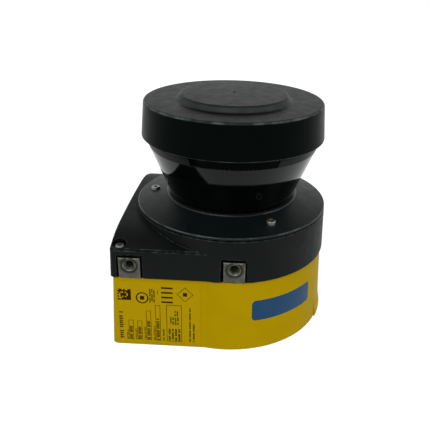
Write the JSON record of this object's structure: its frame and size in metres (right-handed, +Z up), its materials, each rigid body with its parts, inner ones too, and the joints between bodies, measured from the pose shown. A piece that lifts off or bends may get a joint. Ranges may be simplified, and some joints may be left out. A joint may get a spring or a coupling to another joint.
{
  "type": "safety laser scanner",
  "caption": "Compact safety laser scanner: D-shaped housing with side mounting inserts, dark hood window under a round cap and a rotating mirror inside.",
  "frame": {"origin": "where the scan axis meets the underside of the housing", "axes": "+Z up along the scan axis, -Y towards the round front, +X to the side without the label"},
  "size_m": [0.1024, 0.116, 0.1158],
  "materials": {
    "yellow_paint": "satin",
    "label_film": "satin",
    "black_casting": "satin",
    "black_cap": "satin",
    "window_plastic": "gloss",
    "seal_rubber": "matte",
    "bare_aluminium": "satin",
    "plated_steel": "satin",
    "plug_metal": "satin",
    "contact_gold": "polished",
    "insulator": "matte",
    "copper_wire": "satin",
    "mirror_face": "polished",
    "disc_metal": "satin",
    "lens_glass": "gloss",
    "board_green": "satin",
    "device_can": "satin",
    "emitter_resin": "gloss",
    "cable_skin": "matte"
  },
  "bodies": {
    "scanner": {"lower_housing": "yellow_paint", "side_label": "label_film", "upper_housing": "black_casting", "hood_flange": "black_casting", "base_cover": "black_casting", "cap": "black_cap", "window_hood": "window_plastic", "status_window": "window_plastic", "housing_gasket": "seal_rubber", "flange_gasket": "seal_rubber", "window_seal": "seal_rubber", "mounting_inserts": "bare_aluminium", "scan_carrier": "bare_aluminium", "lens_barrel": "bare_aluminium", "sender_tube": "bare_aluminium", "flange_screws": "plated_steel", "corner_screws": "plated_steel", "base_screws": "plated_steel", "carrier_screws": "plated_steel", "detector_screws": "plated_steel", "board_screws": "plated_steel", "shaft_bearings": "plated_steel", "stator_core": "plated_steel", "lower_standoffs": "plated_steel", "upper_standoffs": "plated_steel", "system_connector": "plug_metal", "config_connector": "plug_metal", "system_pins": "contact_gold", "config_pins": "contact_gold", "system_insert": "insulator", "config_insert": "insulator", "encoder_sensor": "insulator", "cable_header": "insulator", "board_link": "insulator", "power_parts": "insulator", "main_chips": "insulator", "stator_windings": "copper_wire", "receiver_lens": "lens_glass", "collimator_lens": "lens_glass", "detector_board": "board_green", "monitor_board": "board_green", "main_board": "board_green", "power_board": "board_green", "laser_diode": "device_can", "detector_can": "device_can", "monitor_leds": "emitter_resin", "motor_cable": "cable_skin", "signal_ribbon": "cable_skin"},
    "mirror_rotor": {"rotor_shaft": "plated_steel", "rotor_cup": "plated_steel", "mirror_holder": "bare_aluminium", "scan_mirror": "mirror_face", "encoder_disc": "disc_metal"}
  },
  "joints": [
    {"name": "mirror_spin", "type": "hinge", "parent": "scanner", "child": "mirror_rotor", "pos_m": [0, 0, 0.0788], "axis": [0, 0, 1], "continuous": true}
  ]
}
